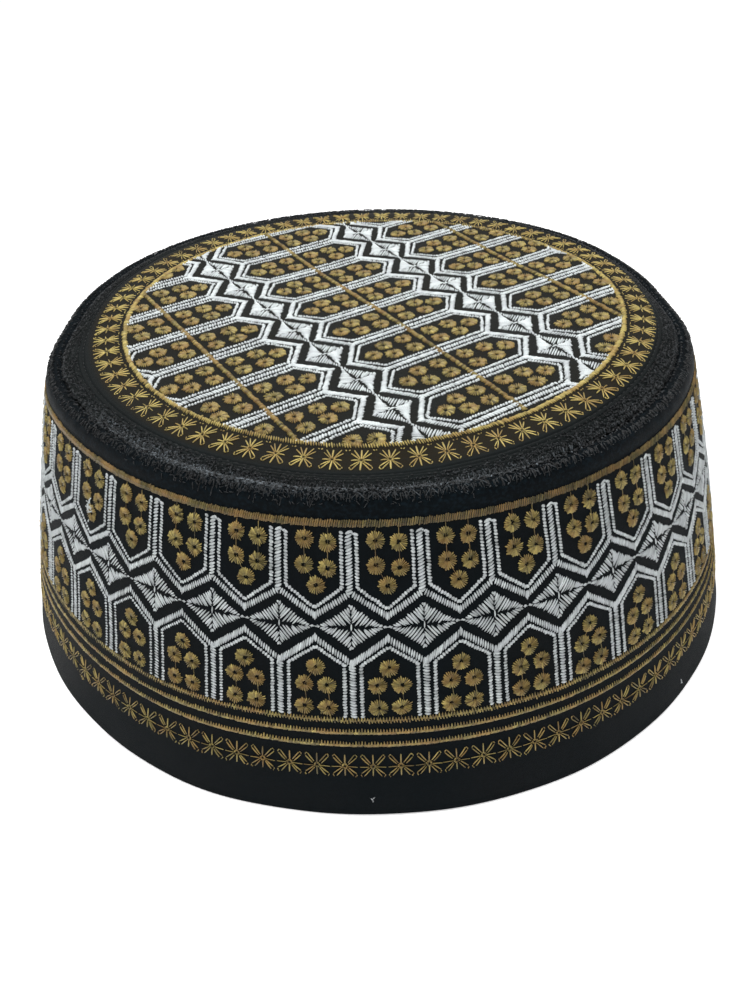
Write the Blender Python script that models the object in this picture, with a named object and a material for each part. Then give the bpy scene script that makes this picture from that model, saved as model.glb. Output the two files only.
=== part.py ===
"""A stiff round kufi: an embroidered crown, a padded edge roll and a tapering side band.

Units are metres, +Z is up, and the origin is the centre of the hem's lower edge.
Each piece is a section turned about Z. A section is a list of (radius, height) pairs.
"""
from math import cos, radians, sin, tau

import bmesh
import bpy

MM = 0.001

# Driving dimensions
HEM_RADIUS = 94.5 * MM           # outside of the hem
SHOULDER_RADIUS = 79.6 * MM      # outside of the side band's upper edge
SHOULDER_HEIGHT = 69.4 * MM      # the side band's upper edge
WALL_BOW = 0.77 * MM             # how far the wall swells past a straight cone
WALL_THICKNESS = 2.4 * MM
HEM_FOLD = 0.7 * MM              # radius of the turned hem's two lower edges

PANEL_RADIUS = 63.0 * MM         # the nearly flat embroidered middle of the crown
PANEL_HEIGHT = 76.1 * MM         # level of the panel's edge
PANEL_DOME = 0.4 * MM            # rise of the panel at its centre
CROWN_RADIUS = 75.0 * MM         # the crown's edge, in the seam groove
CROWN_THICKNESS = 2.3 * MM
LIP_HEIGHT = 72.9 * MM           # level at which the shoulder's curve would turn straight down
LIP_BOTTOM = 72.3 * MM

ROLL_TOP_RADIUS = 77.0 * MM      # the crest of the edge roll
ROLL_TOP_HEIGHT = 73.6 * MM
ROLL_WAIST_HEIGHT = 71.3 * MM    # level at which the roll meets the crown's edge
ROLL_INNER_BOTTOM = 70.7 * MM
ROLL_FOOT_RADIUS = 76.4 * MM     # inner edge of the roll's underside

GAP = 0.3 * MM                   # clearance between pieces that touch
SIDES = 96                       # facets round the cap


def arc(centre, half_width, half_height, start, end, steps):
    """Points along an ellipse's arc, from the start angle to the end angle in degrees."""
    points = []
    for step in range(steps + 1):
        angle = radians(start + (end - start) * step / steps)
        points.append((centre[0] + half_width * cos(angle), centre[1] + half_height * sin(angle)))
    return points


def wall_radius(height):
    """The outer radius of the side band at a height: a cone that swells a little in its middle."""
    part = height / SHOULDER_HEIGHT
    straight = HEM_RADIUS + (SHOULDER_RADIUS - HEM_RADIUS) * part
    return straight + 4 * WALL_BOW * part * (1 - part)


def side_band_section():
    """Round the wall: up the outside, over the top edge, down the inside, round the hem."""
    outer_steps = 9
    inner_steps = 6
    rise = SHOULDER_HEIGHT - HEM_FOLD
    section = []
    for step in range(outer_steps + 1):
        height = HEM_FOLD + rise * step / outer_steps
        section.append((wall_radius(height), height))
    for step in range(inner_steps + 1):
        height = SHOULDER_HEIGHT - rise * step / inner_steps
        section.append((wall_radius(height) - WALL_THICKNESS, height))
    fold_outside = HEM_RADIUS - HEM_FOLD
    fold_inside = HEM_RADIUS - WALL_THICKNESS + HEM_FOLD
    section += arc((fold_inside, HEM_FOLD), HEM_FOLD, HEM_FOLD, 180, 270, 3)[1:]
    section += arc((fold_outside, HEM_FOLD), HEM_FOLD, HEM_FOLD, 270, 360, 3)[:-1]
    return section


def edge_roll_section():
    """Round the roll: over its crest from the side band to the groove, then back underneath."""
    foot_height = SHOULDER_HEIGHT + GAP
    inner_radius = CROWN_RADIUS + GAP
    outer = arc((ROLL_TOP_RADIUS, foot_height), SHOULDER_RADIUS - ROLL_TOP_RADIUS,
                ROLL_TOP_HEIGHT - foot_height, 0, 90, 5)
    inner = arc((ROLL_TOP_RADIUS, ROLL_WAIST_HEIGHT), ROLL_TOP_RADIUS - inner_radius,
                ROLL_TOP_HEIGHT - ROLL_WAIST_HEIGHT, 90, 180, 4)[1:]
    return outer + inner + [(inner_radius, ROLL_INNER_BOTTOM), (ROLL_FOOT_RADIUS, foot_height)]


def panel_height(radius):
    """The height of the crown's flat panel at a radius."""
    return PANEL_HEIGHT + PANEL_DOME * (1 - (radius / PANEL_RADIUS) ** 2)


def crown_section():
    """Round the crown: out along its top, down over its shoulder, and back along its underside."""
    top = [(radius, panel_height(radius)) for radius in (0.0, PANEL_RADIUS * 0.55)]
    shoulder = arc((PANEL_RADIUS, LIP_HEIGHT), CROWN_RADIUS - PANEL_RADIUS, PANEL_HEIGHT - LIP_HEIGHT, 90, 12, 9)
    lip_inside = CROWN_RADIUS - CROWN_THICKNESS
    under_shoulder = arc((PANEL_RADIUS, LIP_BOTTOM), lip_inside - PANEL_RADIUS,
                         PANEL_HEIGHT - CROWN_THICKNESS - LIP_BOTTOM, 0, 90, 5)
    underside = [(radius, height - CROWN_THICKNESS) for radius, height in reversed(top)]
    return top + shoulder + [(CROWN_RADIUS, LIP_BOTTOM)] + under_shoulder + underside


def turned(name, section, closed):
    """A solid made by spinning a section once round Z. An open section starts and ends on the axis."""
    shape = bmesh.new()
    verts = [shape.verts.new((radius, 0.0, height)) for radius, height in section]
    edges = [shape.edges.new(pair) for pair in zip(verts, verts[1:])]
    if closed:
        edges.append(shape.edges.new((verts[-1], verts[0])))
    bmesh.ops.spin(shape, geom=verts + edges, cent=(0, 0, 0), axis=(0, 0, 1), dvec=(0, 0, 0),
                   angle=tau, steps=SIDES, use_merge=True, use_duplicate=False)
    bmesh.ops.remove_doubles(shape, verts=shape.verts, dist=0.01 * MM)
    bmesh.ops.recalc_face_normals(shape, faces=shape.faces)
    mesh = bpy.data.meshes.new(name)
    shape.to_mesh(mesh)
    shape.free()
    mesh.shade_smooth()
    mesh.set_sharp_from_angle(angle=radians(40))
    solid = bpy.data.objects.new(name, mesh)
    bpy.context.scene.collection.objects.link(solid)
    return solid


def cloth(name, colour, roughness):
    """A plain cloth material."""
    material = bpy.data.materials.new(name)
    material.use_nodes = True
    shader = material.node_tree.nodes["Principled BSDF"]
    shader.inputs["Base Color"].default_value = (*colour, 1.0)
    shader.inputs["Roughness"].default_value = roughness
    shader.inputs["Metallic"].default_value = 0.0
    material.diffuse_color = (*colour, 1.0)
    return material


def main():
    for item in list(bpy.data.objects):
        bpy.data.objects.remove(item, do_unlink=True)
    crown = turned("crown", crown_section(), closed=False)
    crown.data.materials.append(cloth("crown_cloth", (0.020, 0.021, 0.022), 0.8))
    edge_roll = turned("edge_roll", edge_roll_section(), closed=True)
    edge_roll.data.materials.append(cloth("roll_cloth", (0.012, 0.015, 0.018), 0.6))
    side_band = turned("side_band", side_band_section(), closed=True)
    side_band.data.materials.append(cloth("side_cloth", (0.018, 0.022, 0.024), 0.8))


main()
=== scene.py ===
"""Finishes a stiff round kufi: cloth, satin embroidery, stitched rim, overcast seam and a plain studio.

The embroidery is laid out flat in millimetres, as a digitiser would, and each stitch is then laid on the cap.
The side is laid out round the cap from the front, and the crown as seen from above, with -Y at the front.
"""
from functools import partial
from math import ceil, cos, pi, radians, sin, tau
from typing import NamedTuple

import bmesh
import bpy
import numpy as np
from bpy.props import FloatProperty, FloatVectorProperty, IntProperty, PointerProperty
from mathutils import Matrix, Vector


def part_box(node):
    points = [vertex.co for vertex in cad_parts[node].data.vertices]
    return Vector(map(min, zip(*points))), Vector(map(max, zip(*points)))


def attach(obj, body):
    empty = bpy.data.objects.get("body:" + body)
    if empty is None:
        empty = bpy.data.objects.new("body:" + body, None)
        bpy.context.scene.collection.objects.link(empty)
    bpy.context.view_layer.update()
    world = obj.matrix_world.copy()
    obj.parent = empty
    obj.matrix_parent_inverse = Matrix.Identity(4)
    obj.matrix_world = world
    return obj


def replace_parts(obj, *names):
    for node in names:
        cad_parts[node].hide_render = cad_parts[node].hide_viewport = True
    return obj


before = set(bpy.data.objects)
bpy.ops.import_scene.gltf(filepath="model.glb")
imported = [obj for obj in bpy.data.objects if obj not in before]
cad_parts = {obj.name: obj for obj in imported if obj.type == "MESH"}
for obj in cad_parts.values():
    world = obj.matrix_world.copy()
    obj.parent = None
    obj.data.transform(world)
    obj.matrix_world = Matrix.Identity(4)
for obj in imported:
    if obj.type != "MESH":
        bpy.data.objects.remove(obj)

bl_info = {
    "name": "Embroidered kufi",
    "version": (1, 0, 0),
    "blender": (4, 5, 0),
    "location": "3D View > Sidebar > Kufi",
    "description": "Dresses a stiff round cap in cloth and satin embroidery",
    "category": "Object",
}

MM = 0.001
BODY = "root"

# The frame's own sizes
SIDE_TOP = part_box("side_band")[1]
CROWN_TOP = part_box("crown")[1]
ROLL_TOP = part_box("edge_roll")[1]

# Round the side: 36 repeats of 10 degrees, each 14.8 mm wide in the flat layout. Heights are above the hem
REPEAT = 14.8
TURN_FROM_REPEAT = 10.0 / REPEAT
COLUMN_START = -3.8 / TURN_FROM_REPEAT   # the column nearest the front
STAR_START = -1.35 / TURN_FROM_REPEAT    # the star nearest the front
CHAIN_HEIGHT = 46.35                     # middle of the chain of diamonds
TOP_LINE = 68.3
DOUBLE_LINE = (24.98, 24.48)             # its upper and its lower stitches
SPIKED_LINES = (21.20, 18.15)
STAR_HEIGHT = 13.25

# On the crown: stripes that run away from the front at a slant
CROWN_CENTRE = (0.85, 0.0)               # the embroidered disc sits a little off the cap's axis
CIRCLE_RADIUS = 61.4                     # the gold circle round the disc
CROWN_STAR_RADIUS = 65.9                 # the middles of the crown's stars
CROWN_STAR_START = radians(-13.35)       # the angle from the front to one star
PATTERN_ORIGIN = (1.09, 1.16)
PATTERN_TURN = radians(-59.45)           # direction of the chains
PATTERN_REPEAT = 14.78
STRIPE = 45.15                           # from one gold line to the next
STRIPE_SLIP = -1.30                      # how far each stripe slips along its neighbour
CROWN_STRETCH = STRIPE / 43.7            # the crown's motif is this much longer than the side's
CROWN_ROSETTE = 1.08                     # and its rosettes this much larger
RINGS = (70.4, 71.6, 72.8, 73.8)         # radii of the stitched rings on the crown's shoulder
RING_SINK = 0.36                         # how deep their stitches lie
RING_STITCH = 1.9                        # from one of their stitches to the next
TRIANGLES = 136                          # of the overcast seam
SEAM_ROWS = (   # count, inner and outer radius, width, and the tone's least, range and power
    (410, 78.40, 78.5, 0.28, 0.01, 0.25, 3.0), (330, 75.9, 76.4, 0.42, 0.02, 0.95, 2.6),
    (560, 74.3, 75.3, 0.26, 0.02, 0.40, 2.6), (760, 77.2, 78.6, 0.30, 0.0, 0.02, 2.0))

# How far this cap is from true, as the photo shows. Angles are degrees from the front
PUSHES = (   # angle, 0 at the hem or 1 at the top, reach, and how far the wall is pushed out
    (40, 0, 50, 0.8), (-28, 0, 16, 1.1), (-70, 1, 13, 0.9), (-92, 1, 11, -1.4), (-110, 1, 12, -0.7),
    (95, 1, 11, -2.0), (112, 1, 13, -1.3))
SINKS = (    # place from above, reach and depth
    (-9, 26, 27, 1.1), (40, 32, 16, 0.7))
DRIFTS = (   # angle and height where rows of the side drift, the reach of each, and the moves across and up
    (-47, 27, 20, 16, 1.9, 0.0), (32, 30, 24, 24, -0.5, -0.35), (30, 66, 22, 8, -0.6, 0.0))
STAR_DRIFT = (34, 17, 1.2)               # angle, reach and how far the crown's stars drift back
LINT = (     # angle, height, count, spread, reach, width and tone of specks; the last is a frayed tuft
    (-1.25, 4.6, 3, 0.25, 0.20, 0.16, 0.30), (50.5, 4.0, 2, 0.2, 0.20, 0.16, 0.30),
    (-49, 56.4, 16, 0.9, 0.50, 0.34, 0.75))
STRAY_KNOTS = ((-51, 9.9), (-51, 18.7))  # angle and height
STRAY_KNOT = (((-0.9, 0.1), (0.2, 0.5), (0.9, -0.1), (0.0, -0.5), (0.7, 0.4)), ((-0.4, -0.4), (0.3, 0.6)))

# A stitch: the length of its pointed ends, and the sides of its mesh
TAPER, FINE_TAPER, WHITE_TAPER = 0.42, 0.24, 0.60
FULL, FINE = 4, 3

# The columns of a table of stitches
START, END, WIDTHS, RISE, TONES = slice(0, 2), slice(2, 4), slice(4, 6), 6, slice(7, 9)

# Of each thread: its worn colour, roughness, gloss, and the dullest and the brightest share of its colour
THREADS = {
    "white": ((0.62, 0.65, 0.68), 0.48, 0.45, 0.40, 1.42),
    "gold": ((0.385, 0.208, 0.062), 0.42, 0.50, 0.20, 2.50),
    "dark": ((0.016, 0.020, 0.022), 0.38, 0.40, 0.08, 20.0),
}
TWIST = 0.42 * MM                        # one turn of a thread's plies


class Half(NamedTuple):
    """What lies on one side of the chain of diamonds. Heights are measured from the chain's middle."""
    sign: int             # 1 above the chain, -1 below it
    band_peak: float      # the wide band's near edge, at the column
    band_tip: float       # the wide band's near edge, halfway between columns
    band_height: float    # the wide band's width, measured up the wall
    thin_peak: float      # the thin band's middle, at its own bar
    thin_tip: float
    thin_width: float
    bars_from: float
    bars_to: float
    bars_at: tuple        # middles of the left thin bar, the wide bar and the right thin bar
    bar_width: float
    bar_slant: float      # rise of a stitch across the wide bar
    thin_slants: tuple    # the same for the left and right thin bars
    leans: tuple          # degrees the wide band's stitches lean: left and right of the column, at the tip
    rosettes: tuple       # places from the column


UPPER = Half(sign=1, band_peak=6.4, band_tip=1.3, band_height=2.15, thin_peak=8.4, thin_tip=4.0,
             thin_width=0.78, bars_from=7.1, bars_to=20.45, bars_at=(-1.72, -0.18, 1.46), bar_width=1.82,
             bar_slant=0.95, thin_slants=(-0.55, -0.55), leans=(-24, 24, 0),
             rosettes=((5.37, 18.46), (10.29, 18.0), (5.37, 13.26), (10.29, 12.74), (7.69, 8.94)))
LOWER = Half(sign=-1, band_peak=7.15, band_tip=1.5, band_height=2.2, thin_peak=8.35, thin_tip=4.5,
             thin_width=0.78, bars_from=8.0, bars_to=21.0, bars_at=(-1.57, 0.10, 1.87), bar_width=1.74,
             bar_slant=0.45, thin_slants=(-0.40, -0.35), leans=(-8, -16, -8),
             rosettes=((7.39, 9.25), (5.11, 13.35), (9.81, 13.35), (5.05, 18.6), (9.75, 18.6)))
ON_CROWN = dict(bars_to=22.0, bars_at=(-1.65, -0.08, 1.60), bar_width=1.85, bar_slant=0.75,
                thin_slants=(-0.50, -0.50),
                rosettes=((5.0, 18.2), (9.9, 18.2), (5.0, 12.8), (9.9, 12.8), (7.5, 8.5)))
CROWN_OUT, CROWN_IN = UPPER._replace(**ON_CROWN), LOWER._replace(**ON_CROWN)


# Settings

def size(name, text, default, top=0.3):
    """A length that the user can change, in metres."""
    return FloatProperty(name=name, description=text, default=default, min=0.0, max=top,
                         subtype="DISTANCE", unit="LENGTH", precision=5)


def colour(name, text, default):
    """A colour that the user can change."""
    return FloatVectorProperty(name=name, description=text, default=default, size=3, min=0.0, max=1.0,
                               subtype="COLOR")


class KufiShape(bpy.types.PropertyGroup):
    """Sizes of the cap's cloth."""
    hem_radius: size("Hem radius", "Outside of the hem", SIDE_TOP.x)
    wall_height: size("Wall height", "The side band's upper edge above the hem", SIDE_TOP.z)
    shoulder_radius: size("Shoulder radius", "Outside of the side band's upper edge", 79.6 * MM)
    wall_bow: size("Wall bow", "How far the wall swells past a straight cone", 0.77 * MM)
    wall_thickness: size("Wall thickness", "Thickness of the side band", 2.4 * MM)
    panel_radius: size("Panel radius", "The nearly flat embroidered middle of the crown", 63.0 * MM)
    panel_height: size("Panel height", "Height of the panel's edge above the hem", CROWN_TOP.z - 0.4 * MM)
    panel_dome: size("Panel dome", "Rise of the panel at its centre", 0.4 * MM)
    crown_tilt: size("Crown tilt", "How far the crown leans up towards the back and the right", 1.1 * MM)
    crown_warp: size("Crown warp", "How far the crown's left and right sides curl up", 0.68 * MM)
    lip_height: size("Lip height", "Level at which the shoulder's curve would turn straight down", 72.9 * MM)
    crown_radius: size("Crown radius", "The crown's edge, in the seam groove", CROWN_TOP.x)
    crown_thickness: size("Crown thickness", "Thickness of the quilted crown", 2.3 * MM)
    roll_radius: size("Roll radius", "Radius of the edge roll's crest", 77.0 * MM)
    roll_height: size("Roll height", "Height of the edge roll's crest", ROLL_TOP.z)


class KufiStitches(bpy.types.PropertyGroup):
    """Sizes and counts of the stitches."""
    white_pitch: size("White pitch", "From one white satin stitch to the next", 0.62 * MM, 0.01)
    gold_pitch: size("Gold pitch", "From one stitch of a gold line to the next", 0.62 * MM, 0.01)
    thread_rise: size("Thread rise", "How far a satin stitch stands off the cloth", 0.30 * MM, 0.01)
    weave_pitch: size("Weave pitch", "Size of the cloth's weave", 0.36 * MM, 0.01)
    rosette_radius: size("Rosette radius", "Outer radius of a gold rosette", 2.14 * MM, 0.01)
    petals: IntProperty(name="Petals", description="Stitches in a rosette", default=24, min=6, max=40)
    repeats: IntProperty(name="Repeats", description="Columns round the side", default=36, min=6, max=72)
    side_stars: IntProperty(name="Side stars", description="Stars round the hem", default=96, min=8, max=200)
    crown_stars: IntProperty(name="Crown stars", description="Stars round the crown", default=70, min=8,
                             max=200)
    hairs: IntProperty(name="Hairs", description="Loose fibres along the seam", default=8000, min=0,
                       max=20000)


class KufiColours(bpy.types.PropertyGroup):
    """Colours of the cloth, the thread and the studio."""
    cloth: colour("Side cloth", "Woven cloth of the side", (0.0012, 0.0029, 0.0040))
    crown: colour("Crown cloth", "Woven cloth of the crown", (0.0042, 0.0066, 0.0068))
    tint: colour("Tint", "Brown cast of the cloth among the crown's stars", (0.0125, 0.0090, 0.0032))
    roll: colour("Roll cloth", "Cloth of the edge roll", (0.0014, 0.0030, 0.0042))
    white: colour("White thread", "Satin thread of the columns and diamonds", (0.66, 0.71, 0.72))
    gold: colour("Gold thread", "Satin thread of the rosettes, lines and stars", (0.304, 0.244, 0.076))
    dark: colour("Dark thread", "Thread of the seam and the stitched shoulder", (0.022, 0.026, 0.029))
    floor: colour("Floor", "The studio's floor", (0.95, 0.95, 0.95))


# The cap's surface, in millimetres

class Surface:
    """The outside of the cap, worked out from the settings."""

    def __init__(self, context):
        shape = context.scene.kufi_shape
        for name in shape.bl_rna.properties.keys():
            if name not in {"rna_type", "name"}:
                setattr(self, name, getattr(shape, name) / MM)

    def push(self, angle, part):
        """How far the cap is pushed out of round, at an angle and a share of the wall's height."""
        total = 0 * angle
        for degrees, top, reach, depth in PUSHES:
            apart = (angle - radians(degrees) + pi) % tau - pi
            total = total + depth * np.exp(-(apart / radians(reach)) ** 2) * (part if top else 1 - part)
        return total

    def wall_radius(self, height):
        """The outside of an even side band at a height above the hem."""
        part = height / self.wall_height
        straight = self.hem_radius + (self.shoulder_radius - self.hem_radius) * part
        return straight + 4 * self.wall_bow * part * (1 - part)

    def crown_level(self, radius):
        """The height of an even crown at a radius: the shallow dome and the shoulder's curve."""
        panel = self.panel_height + self.panel_dome * (1 - (radius / self.panel_radius) ** 2)
        over = np.clip((radius - self.panel_radius) / (self.crown_radius + 0.2 - self.panel_radius), 0, 1)
        rise = (self.panel_height - self.lip_height) * np.sqrt(np.maximum(1 - over ** 2, 0))
        return np.where(radius < self.panel_radius, panel, self.lip_height + rise)

    def crown_uneven(self, radius, angle):
        """How far the hand-made crown leans and curls, most of all under its stars."""
        part = np.minimum(radius / CROWN_STAR_RADIUS, 1)
        lean = self.crown_tilt * part * np.cos(angle - radians(123))
        curl = self.crown_warp * part ** 2 * np.cos(2 * (angle - radians(74)))
        front = np.exp(-((angle - radians(2)) / radians(20)) ** 2)
        droop = (0.15 + 0.80 * front) * smooth((radius - CIRCLE_RADIUS + 4) / 8)
        sinks = 0
        for x, y, reach, depth in SINKS:
            apart = np.hypot(radius * np.sin(angle) - x, -radius * np.cos(angle) - y)
            sinks = sinks + depth * np.exp(-(apart / reach) ** 2)
        return (lean + curl - droop - sinks) * (1 - 0.75 * smooth((radius - 69.5) / 5))

    def crown_height(self, x, y):
        """The top of the crown at places seen from above."""
        radius = np.hypot(x, y)
        return self.crown_level(radius) + self.crown_uneven(radius, np.arctan2(x, -y))

    def roll_point(self, turn):
        """Radius and height round the roll's section: 0 degrees at its outer foot and 90 at its crest."""
        angle = np.radians(turn)
        outer = np.cos(angle) > 0
        reach = np.where(outer, self.shoulder_radius - self.roll_radius, self.roll_radius - self.crown_radius)
        drop = np.where(outer, self.roll_height - self.wall_height, self.roll_height - self.lip_height + 1.0)
        return self.roll_radius + reach * np.cos(angle), self.roll_height + drop * (np.sin(angle) - 1)

    def on_side(self, across, height):
        """Places on the wall and the directions that the wall faces, from the flat layout."""
        turn = np.radians(across * TURN_FROM_REPEAT)
        for degrees, level, reach, rise, aside, up in DRIFTS:
            apart = (turn - radians(degrees) + pi) % tau - pi
            share = np.exp(-(apart / radians(reach)) ** 2 - ((height - level) / rise) ** 2)
            turn, height = turn + share * aside / 88, height + share * up
        radius = self.wall_radius(height) + self.push(turn, height / self.wall_height)
        lower = self.wall_radius(height - 0.5) + self.push(turn, (height - 0.5) / self.wall_height)
        out = np.stack([np.sin(turn), -np.cos(turn), np.zeros_like(turn)], -1)
        place = out * radius[..., None]
        place[..., 2] = height
        facing = out.copy()
        facing[..., 2] = (lower - radius) / 0.5
        return place, unit(facing)

    def on_crown(self, x, y):
        """Places on the crown and the directions that it faces, from the view from above."""
        radius = np.hypot(x, y)
        wider = 1 + self.push(np.arctan2(x, -y), 1) * smooth((radius - 66) / 8) / np.maximum(radius, 1)
        place = np.stack([x * wider, y * wider, self.crown_height(x, y)], -1)
        slope_x = self.crown_height(x - 0.2, y) - self.crown_height(x + 0.2, y)
        slope_y = self.crown_height(x, y - 0.2) - self.crown_height(x, y + 0.2)
        return place, unit(np.stack([slope_x, slope_y, np.full_like(x, 0.4)], -1))

    def seam_height(self, radius, angle):
        """The crown's edge and the roll's crest together, with the groove between them bridged."""
        crown = self.crown_level(radius) + self.crown_uneven(radius, angle)
        outer = radius > self.roll_radius
        inward = self.roll_radius - self.crown_radius + 0.5
        reach = np.where(outer, self.shoulder_radius - self.roll_radius, inward)
        drop = np.where(outer, self.roll_height - self.wall_height, 1.1)
        part = np.clip((radius - self.roll_radius) / reach, -1, 1)
        roll = self.roll_height - drop * (1 - np.sqrt(1 - part ** 2))
        return np.where(radius < self.crown_radius, np.maximum(crown, roll), roll)

    def on_seam(self, around, radius):
        """Places over the seam, from degrees round the cap and the radius."""
        angle = np.radians(around)
        out = np.stack([np.sin(angle), -np.cos(angle), np.zeros_like(angle)], -1)
        place = out * (radius + self.push(angle, 1))[..., None]
        place[..., 2] = self.seam_height(radius, angle)
        fall = (self.seam_height(radius - 0.3, angle) - self.seam_height(radius + 0.3, angle)) / 0.6
        facing = out * fall[..., None]
        facing[..., 2] = 1
        return place, unit(facing)


def smooth(part):
    """Eases from 0 to 1."""
    part = np.clip(part, 0, 1)
    return part * part * (3 - 2 * part)


def unit(vectors):
    """Vectors of length one."""
    return vectors / np.maximum(np.linalg.norm(vectors, axis=-1, keepdims=True), 1e-9)


# Materials

class Look:
    """A material whose nodes are added one call at a time."""

    def __init__(self, name):
        self.material = bpy.data.materials.new(name)
        self.material.use_nodes = True
        self.tree = self.material.node_tree
        self.shader = self.tree.nodes["Principled BSDF"]

    def node(self, kind, inputs=None, **values):
        """Adds a node. An input is a value, or the output that feeds it."""
        node = self.tree.nodes.new(kind)
        for key, value in values.items():
            setattr(node, key, value)
        self.feed(node, inputs or {})
        return node

    def feed(self, node, inputs):
        """Sets or links a node's inputs."""
        for key, value in inputs.items():
            if isinstance(value, bpy.types.NodeSocket):
                self.tree.links.new(value, node.inputs[key])
            else:
                node.inputs[key].default_value = value

    def math(self, operation, first, second=0.0):
        return self.node("ShaderNodeMath", {0: first, 1: second}, operation=operation).outputs[0]

    def noise(self, place, scale, detail=2.0):
        inputs = {"Vector": place, "Scale": scale, "Detail": detail, "Roughness": 0.5}
        return self.node("ShaderNodeTexNoise", inputs).outputs["Fac"]

    def range(self, value, low, high, to_low=0.0, to_high=1.0):
        """The value carried over from one range to another, and held at its ends."""
        inputs = {"Value": value, "From Min": low, "From Max": high, "To Min": to_low, "To Max": to_high}
        return self.node("ShaderNodeMapRange", inputs).outputs["Result"]

    def mix(self, share, first, second):
        """Mixes two colours."""
        node = self.node("ShaderNodeMix", data_type="RGBA")
        self.feed(node, {0: share, 6: first, 7: second})
        return node.outputs[2]

    def bump(self, height, depth):
        """The normals of a surface whose relief is depth metres high."""
        inputs = {"Height": height, "Distance": depth, "Strength": 1.0}
        return self.node("ShaderNodeBump", inputs).outputs["Normal"]

    def object_place(self):
        return self.node("ShaderNodeTexCoord").outputs["Object"]

    def map_place(self, name):
        return self.node("ShaderNodeUVMap", uv_map=name).outputs["UV"]

    def split(self, place):
        return self.node("ShaderNodeSeparateXYZ", {0: place}).outputs


def rgba(values, gain=1.0):
    """A colour with its brightness changed, as a socket takes it."""
    return (*[min(value * gain, 1.0) for value in values], 1.0)


def woven(look, place, pitch):
    """Height of a plain weave: ribs one way and then the other, over and under."""
    x, y, _ = look.split(place)
    across = look.math("SINE", look.math("MULTIPLY", x, tau / pitch))
    along = look.math("SINE", look.math("MULTIPLY", y, tau / pitch))
    return look.math("MULTIPLY", across, along)


def cloth_look(name, base, pitch, gloss, shine, tint=None, from_map=False, nap=2.0):
    """Dark woven cloth: a fine weave, faint clouds of wear, and a nap of pale fibres.

    The tint is a cast that is full among the crown's stars and weaker under its embroidery.
    """
    look = Look(name)
    place = look.object_place()
    weave = woven(look, look.map_place("cloth") if from_map else place, pitch)
    clouds = look.noise(place, 38.0, 3.0)
    fine = look.noise(place, 1400.0, 2.0)
    ground = look.mix(look.range(clouds, 0.35, 0.65), rgba(base, 0.80), rgba(base, 1.25))
    if tint is not None:
        x, y, _ = look.split(place)
        flat = look.node("ShaderNodeCombineXYZ", {0: x, 1: y}).outputs[0]
        radius = look.node("ShaderNodeVectorMath", {0: flat}, operation="LENGTH").outputs["Value"]
        inner = look.range(radius, 0.0610, 0.0625, 0.5, 1.0)
        among = look.math("MULTIPLY", inner, look.range(radius, 0.0696, 0.0684))
        among = look.math("MULTIPLY", among, look.range(clouds, 0.30, 0.55, 0.4, 1.0))
        ground = look.mix(among, ground, rgba(tint))
    ground = look.mix(look.range(fine, 0.45, 0.75, 0.0, 0.45), ground, rgba(base, nap))
    roughness = look.range(clouds, 0.3, 0.7, gloss - 0.07, gloss + 0.07)
    rise = look.math("ADD", weave, look.math("MULTIPLY", fine, 1.5))
    inputs = {"Base Color": ground, "Roughness": roughness, "Metallic": 0.0, "Specular IOR Level": shine,
              "Sheen Weight": 0.012, "Sheen Roughness": 0.5, "Normal": look.bump(rise, 0.045 * MM)}
    look.feed(look.shader, inputs)
    look.material.diffuse_color = rgba(base)
    return look.material


def thread_look(colours, thread):
    """Plied satin thread: each stitch has its own tone, its plies wind round it, and shade is painted into
    the grooves between the plies.
    """
    name = thread + "_thread"
    if name in bpy.data.materials:
        return bpy.data.materials[name]
    base = getattr(colours, thread)
    worn_colour, roughness, specular, low, high = THREADS[thread]
    look = Look(name)
    tone = look.node("ShaderNodeAttribute", attribute_name="tone").outputs["Fac"]
    place = look.object_place()
    along, around, _ = look.split(look.map_place("thread"))
    clouds = look.noise(place, 260.0, 2.0)
    worn = look.noise(place, 2600.0, 2.0)
    ground = look.mix(look.range(tone, 0.0, 1.0), rgba(base, low), rgba(base, high))
    ground = look.mix(look.range(clouds, 0.40, 0.66, 0.0, 0.60), ground, rgba(worn_colour))
    ground = look.mix(look.range(worn, 0.55, 0.78, 0.0, 0.30), ground, rgba(base, 1.5))
    turns = look.math("MULTIPLY", along, tau / TWIST)
    plies = look.math("SINE", look.math("ADD", turns, look.math("MULTIPLY", around, 2 * tau)))
    rise = look.math("ADD", plies, look.math("MULTIPLY", worn, 0.8))
    # Painted shade: the colour darkens in the grooves where the plies dip.
    ground = look.mix(look.range(plies, -1.0, 1.0, 0.22, 0.0), ground, rgba(base, 0.45))
    rough = look.range(worn, 0.3, 0.7, roughness - 0.08, roughness + 0.10)
    inputs = {"Base Color": ground, "Roughness": rough, "Metallic": 0.0, "Specular IOR Level": specular,
              "Sheen Weight": 0.12, "Sheen Roughness": 0.35, "Normal": look.bump(rise, 0.022 * MM)}
    look.feed(look.shader, inputs)
    look.material.diffuse_color = rgba(base)
    return look.material


# Stitches

class Shape(NamedTuple):
    """One stitch's mesh, lying along its first axis between -1 and 1."""
    verts: np.ndarray      # along, across and up
    corners: np.ndarray    # vertex of each corner of each face
    starts: np.ndarray     # first corner of each face
    places: np.ndarray     # place of each corner along and round the stitch, from 0 to 1


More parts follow.
